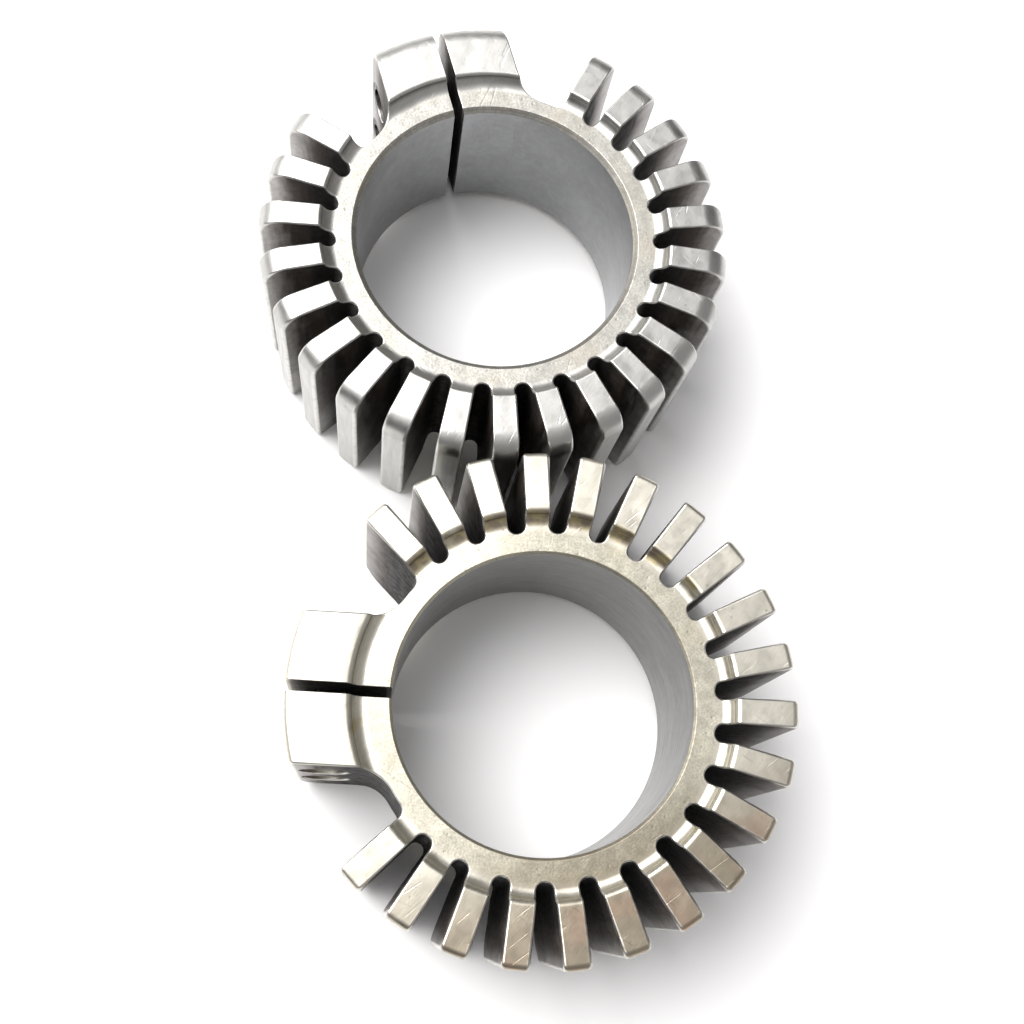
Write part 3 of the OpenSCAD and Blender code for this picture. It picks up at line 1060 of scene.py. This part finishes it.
def bore_colour(s, look):
    """Turned satin, with fine marks round it."""
    bore = look["bore"]
    satin = s.mix(s.ramp(s.turning, 0.3, 0.7), shade(bore, 0.96), shade(bore, 1.04))
    satin = s.mix(s.ramp(s.clouds, 0.35, 0.65, 0.0, 0.35), satin, shade(bore, 0.70))
    satin = s.mix(s.ramp(s.mottle, 0.35, 0.7, 0.0, 0.4), satin, shade(bore, 1.22))
    return s.mix(s.ramp(s.grain, 0.45, 0.8, 0.0, 0.35), satin, shade(bore, 0.70))


def wall_colour(s, look):
    """Light at the tip, brown further in, nearly black down in the slots: as-cast oxide deepened with
    painted shade towards the slot roots. The screw holes' walls are painted black as shade.
    """
    skin = s.mix(s.ramp(s.mottle, 0.3, 0.7), shade(WALL_LIGHT, 0.85), shade(WALL_LIGHT, 1.12))
    brown = s.mix(s.ramp(s.mottle, 0.4, 0.7), SLOT_BROWN_AND_SHADE, shade(SLOT_BROWN_AND_SHADE, 1.8))
    walls = s.mix(s.ramp(s.deep, *BLACK_END), OXIDE_AND_SHADE_BLACK, brown)
    walls = s.mix(s.ramp(s.deep, *BROWN_END), walls, skin)
    walls = s.mix(s.ramp(s.r, *TIP_START), walls, shade(look["top"], 0.9))
    return s.mix(s.hole_shade, walls, OXIDE_AND_SHADE_BLACK)


def casting_roughness(s):
    sandy = s.ramp(s.grain, 0.3, 0.7, 0.42, 0.56)
    rough = s.blend(s.annulus, s.ramp(s.mottle, 0.3, 0.7, 0.30, 0.42), sandy)
    rough = s.blend(s.bore, rough, s.ramp(s.turning, 0.3, 0.7, 0.30, 0.42))
    rough = s.blend(s.fin_wall, rough, s.ramp(s.streaks, 0.3, 0.7, 0.32, 0.48))
    rough = s.blend(s.dirt, rough, s.ramp(s.mottle, 0.3, 0.7, 0.55, 0.8))
    return s.blend(s.times(s.rubbed_and_glint, 0.7), rough, 0.26)


def casting_relief(s):
    """Sandy grain, pits, brushing, scratches and worn edges, over slow waves."""
    scratches = s.plus(scratch_lines(s, 8.0, 0.7), scratch_lines(s, 11.0, -0.5))
    relief = s.times(s.grain, s.blend(s.annulus, 0.30, 1.0))
    relief = s.minus(relief, s.times(s.pits, s.blend(s.annulus, 0.25, 0.8)))
    relief = s.plus(relief, s.times(s.brushing, s.blend(s.wall, 0.25, 0.0)))
    relief = s.minus(relief, s.times(scratches, 0.6))
    relief = s.plus(relief, s.times(s.times(s.edge, s.mottle), 1.2))
    fine = s.bump(relief, 0.00004, 0.6)
    return s.bump(s.noise(0.005, 1.0, 9.0), 0.0003, 0.5, under=fine)


def cast_aluminium(which, seed, look):
    """Tumbled casting: worn bright tops, a granular annulus, a turned bore and dark slot walls; shade in
    the slots and holes, glints on the edges and a sheen near the boss are painted.
    """
    s = Casting(which, seed, look["dark_in_hollows"])
    colour = far_side_shade_and_copper(s, look, face_colour(s, look))
    # Painted shade: a thin dark line along the ridge left by the two cuts of the bore's chamfer
    ridge_shade = s.times(s.flat, s.ramp(s.size(s.minus(s.r, RIDGE_R)), *RIDGE_HALF))
    colour = s.mix(s.times(ridge_shade, 0.6), colour, STAIN_AND_SHADE_BROWN)
    colour = s.mix(s.bore, colour, bore_colour(s, look))
    colour = s.mix(s.fin_wall, colour, wall_colour(s, look))
    # Rolled edges are rubbed bright and carry a painted glint, and pits hold dirt
    colour = s.mix(s.rubbed_and_glint, colour, RUBBED_GLINT)
    colour = s.mix(s.times(s.pits, s.blend(s.annulus, 0.10, 0.35)), colour, PIT_COLOUR)
    colour = s.mix(s.times(s.specks, 0.5), colour, PIT_COLOUR)
    return s.finish(colour, casting_roughness(s), casting_relief(s), s.blend(s.dirt, 1.0, 0.2))


def scratch_lines(s, offset, turn):
    """Thin, sparse, nearly straight scratches that run at an angle to the fins."""
    along = s.noise(0.0035, 0.0, offset, turn=turn, pull=0.05)
    line = s.ramp(s.size(s.minus(along, 0.5)), 0.008, 0.0)
    return s.times(line, s.ramp(s.noise(0.004, 1.0, offset + 1.0), 0.52, 0.62))


def steel(name, seed, base, dull, worn_colour, dark_in_hollows, valley, roughness):
    """Plated steel: clouded, finely brushed round the axis, worn bright on the edges.
    Valley is the radius range, in metres, over which the thread or groove fills with grime."""
    s = Surface(name, seed)
    _, _, _, r = s.axes()
    clouds = s.noise(0.0022, 3.0)
    grain = s.noise(0.0002, 2.0, 1.0)
    rings = s.noise(0.0003, 1.0, 2.0, (0.15, 0.15, 1.0))
    dirt = s.times(s.ramp(r, *valley), s.ramp(clouds, 0.3, 0.6, 0.55, 1.0))
    worn = s.times(s.attribute("edge"), s.ramp(clouds, 0.35, 0.6, 0.4, 1.0))
    colour = s.mix(s.ramp(clouds, 0.3, 0.7), base, dull)
    colour = s.mix(s.ramp(rings, 0.35, 0.65, 0.0, 0.3), colour, shade(base, 0.7))
    colour = s.mix(dirt, colour, dark_in_hollows)
    colour = s.mix(worn, colour, worn_colour)
    low, high = roughness
    rough = s.blend(dirt, s.ramp(rings, 0.3, 0.7, low, high), s.ramp(grain, 0.3, 0.7, 0.55, 0.75))
    rough = s.blend(worn, rough, low)
    relief = s.plus(s.times(grain, 0.6), rings)
    return s.finish(colour, rough, s.bump(relief, 0.00001, 0.6))


# Base, dull, worn and grime colours, thread valley radii (m), roughness range
SCREW_METAL = ((0.075, 0.073, 0.072), (0.045, 0.043, 0.042), (0.34, 0.335, 0.33),
               (0.018, 0.016, 0.014), (0.00190, 0.00165), (0.28, 0.45))
WASHER_METAL = ((0.30, 0.29, 0.27), (0.20, 0.19, 0.175), (0.52, 0.51, 0.48),
                (0.04, 0.035, 0.03), (0.00225, 0.00205), (0.30, 0.46))
INSERT_METAL = ((0.13, 0.12, 0.10), (0.08, 0.074, 0.062), (0.26, 0.24, 0.20),
                (0.02, 0.017, 0.014), (0.00206, 0.00225), (0.36, 0.52))


def floor_paper():
    s = Surface("floor_paper")
    soft = s.noise(0.12)
    colour = s.mix(soft, (0.90, 0.90, 0.905), (0.93, 0.93, 0.93))
    fibre = s.noise(0.0006, 2.0, 1.0)
    rough = s.ramp(fibre, 0.2, 0.8, 0.55, 0.7)
    return s.finish(colour, rough, s.bump(fibre, 0.00002, 0.2), metallic=0.0)


# ---- Assembly ----

def add_rings():
    for which, seed in (("a", 3), ("b", 8)):
        material = cast_aluminium(which, float(seed), LOOKS[which])
        mesh = ring_mesh(f"ring_{which}_cast", ring_place(which), seed)
        add_piece(f"finned_ring_{which}_cast", mesh, material, Matrix(), f"ring_{which}",
                  "cast_aluminium", f"finned_ring_{which}")


def add_fasteners():
    screw = steel("screw_steel", 21.0, *SCREW_METAL)
    washer = steel("washer_steel", 22.0, *WASHER_METAL)
    insert = steel("insert_steel", 23.0, *INSERT_METAL)
    for which in ("a", "b"):
        for level in ("upper", "lower"):
            place = screw_place(which, level)
            for kind, make, metal, body, slot in (
                    ("cap_screw", cap_screw_mesh, screw, f"screw_{which}_{level}", "screw_steel"),
                    ("lock_washer", lock_washer_mesh, washer, f"washer_{which}_{level}", "washer_steel"),
                    ("threaded_insert", insert_mesh, insert, f"ring_{which}", "insert_steel")):
                node = f"{kind}_{which}_{level}"
                mesh = make(f"{node}_detailed")
                add_piece(f"{node}_detailed", mesh, metal, place, body, slot, node)


add_rings()
add_fasteners()
make_floor(floor_paper())
make_camera()
make_light()
make_world()
bpy.context.scene.view_settings.view_transform = "Standard"

bpy.context.view_layer.update()
